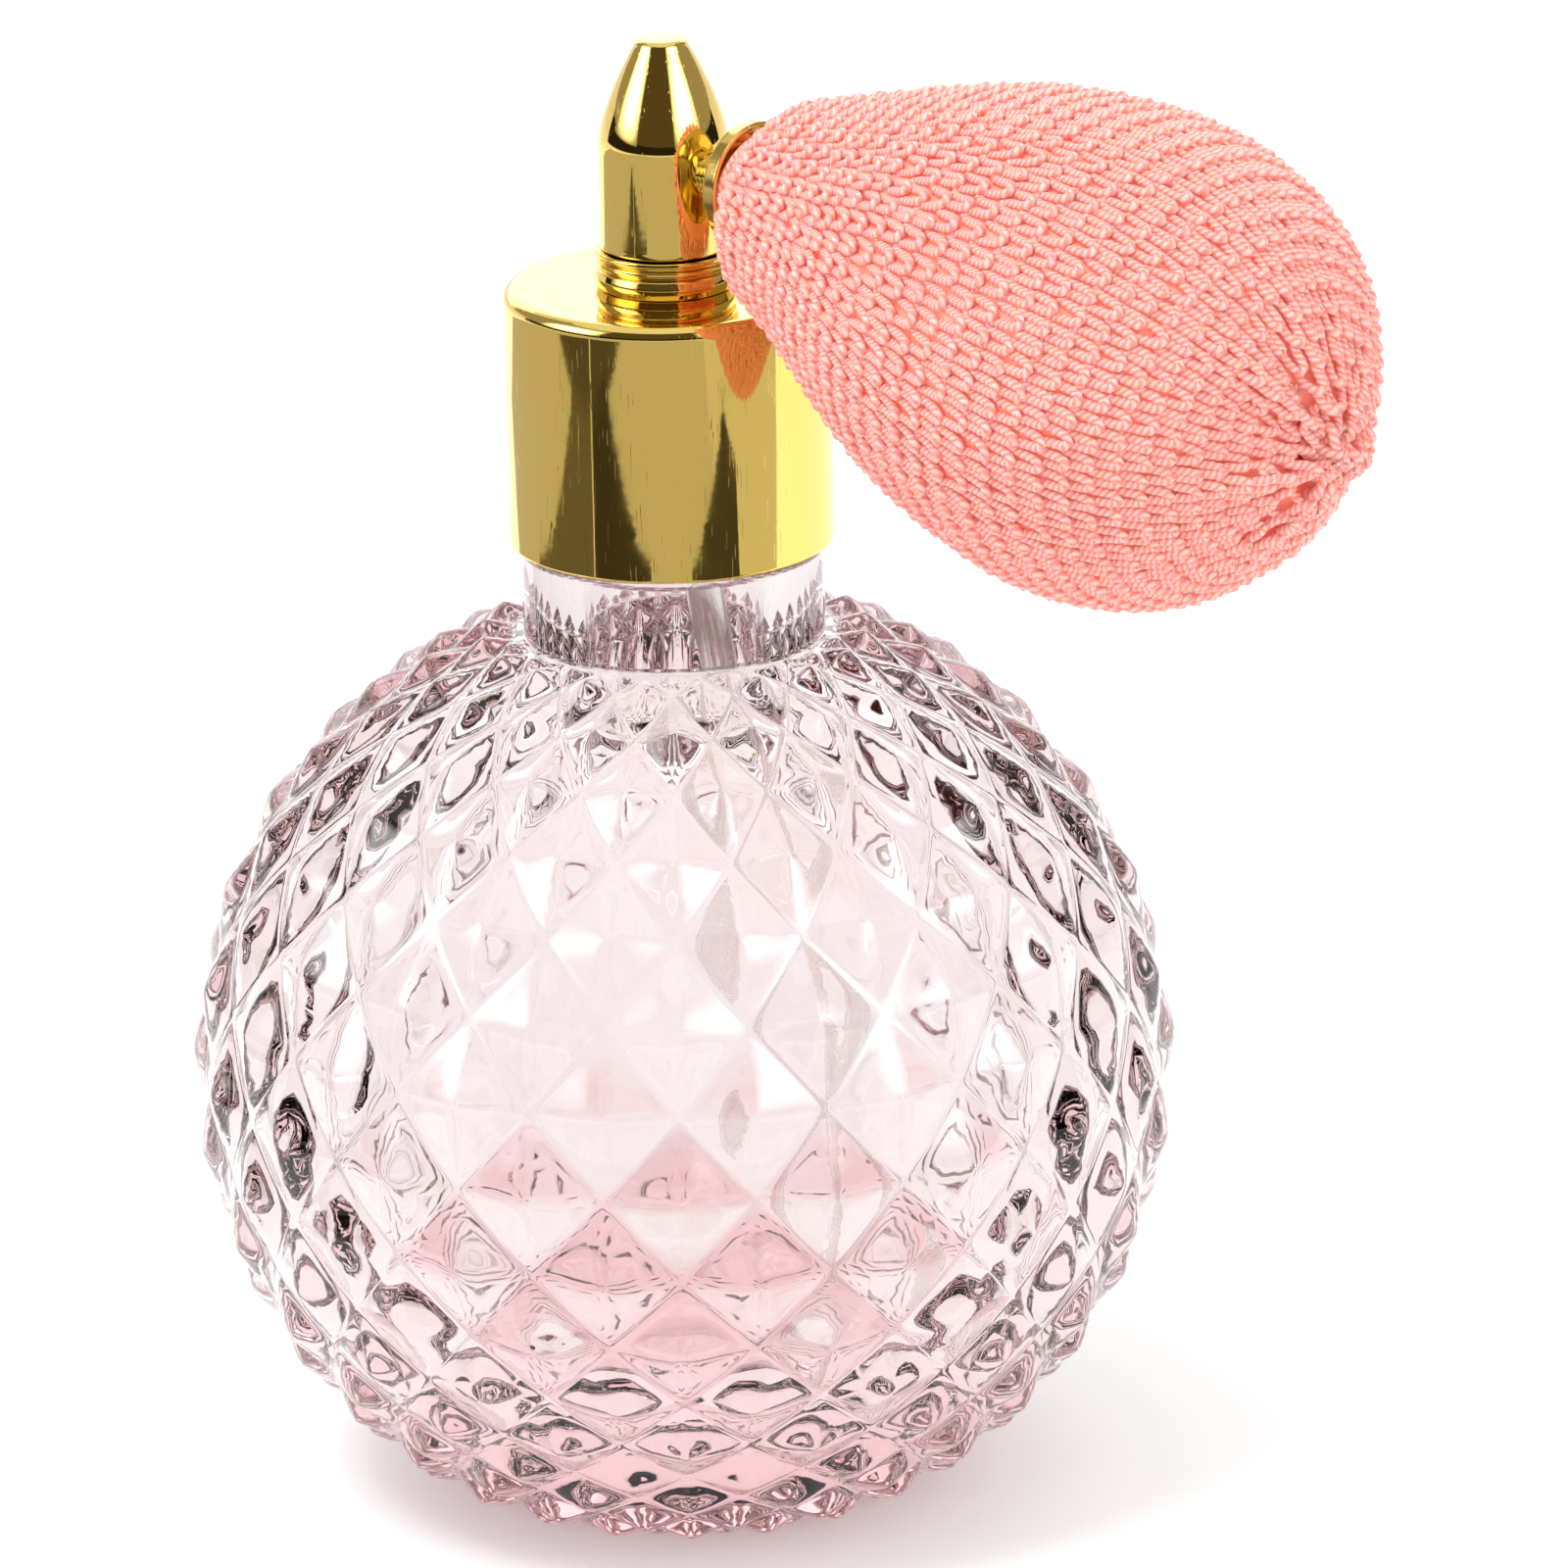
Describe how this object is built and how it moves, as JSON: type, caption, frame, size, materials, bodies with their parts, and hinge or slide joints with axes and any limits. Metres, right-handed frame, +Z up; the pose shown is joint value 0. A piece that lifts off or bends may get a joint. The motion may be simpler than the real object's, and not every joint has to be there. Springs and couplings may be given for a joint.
{
  "type": "perfume atomiser",
  "caption": "Diamond-cut glass ball bottle with a gold screw collar, a bullet-shaped gold spray head and a side bulb in a pink knitted cover.",
  "frame": {"origin": "centre of the bottle's flat foot", "axes": "+Z up along the bottle, its neck and the spray head; +X from the head towards the bulb; the nozzle faces -X"},
  "size_m": [0.1092, 0.0794, 0.1228],
  "materials": {
    "glass": "clear cut glass with a faint pink tint",
    "gold_collar": "polished, gold-coloured, mirror bright",
    "cap_plastic": "moulded, off-white",
    "seal": "soft, pale",
    "brass": "turned",
    "gold_head": "gold plated, mirror bright with fine scratches",
    "tube_plastic": "translucent, natural white",
    "gold_stem": "gold plated, slightly dull",
    "valve_plastic": "moulded, off-white",
    "steel_ball": "polished",
    "rubber_peach": "smooth, satin, peach",
    "knit": "glossy pink yarn, plain knit",
    "yarn": "glossy pink yarn"
  },
  "bodies": {
    "bottle": {"bottle": "glass"},
    "spray_head": {"neck_gasket": "seal", "post_base": "gold_head", "post_nut": "brass", "head": "gold_head", "mixing_core": "cap_plastic", "nozzle_insert": "brass", "dip_tube": "tube_plastic", "air_stem": "gold_stem", "cup_flange": "gold_stem", "outlet_valve_seat": "valve_plastic", "rubber_bulb": "rubber_peach", "knit_cover": "knit", "neck_binding": "yarn"},
    "closure": {"collar_sleeve": "gold_collar", "threaded_cap": "cap_plastic"},
    "bulb_tail": {"inlet_valve_body": "valve_plastic", "inlet_valve_cap": "valve_plastic", "gather_cord": "yarn"},
    "outlet_ball": {"outlet_valve_ball": "steel_ball"},
    "inlet_ball": {"inlet_valve_ball": "steel_ball"}
  },
  "joints": [
    {"name": "closure_rise", "type": "slide", "parent": "bottle", "child": "spray_head", "axis": [0, 0, 1], "range_m": [0, 0.00375]},
    {"name": "closure_turn", "type": "hinge", "parent": "spray_head", "child": "closure", "pos_m": [0, 0, 0.09], "axis": [0, 0, 1], "range_deg": [0, 450]},
    {"name": "bulb_squeeze", "type": "slide", "parent": "spray_head", "child": "bulb_tail", "axis": [-0.9833, 0, 0.1822], "range_m": [0, 0.012], "stiffness_N_per_m": 400, "deforming": ["rubber_bulb", "knit_cover"]},
    {"name": "outlet_valve", "type": "slide", "parent": "spray_head", "child": "outlet_ball", "axis": [-1, 0, 0], "range_m": [0, 0.0006]},
    {"name": "inlet_valve", "type": "slide", "parent": "bulb_tail", "child": "inlet_ball", "axis": [-0.9833, 0, 0.1822], "range_m": [0, 0.0006]}
  ],
  "couplings": [
    {"joint": "closure_turn", "follows": "closure_rise", "rad_per_m": 2094.4}
  ]
}
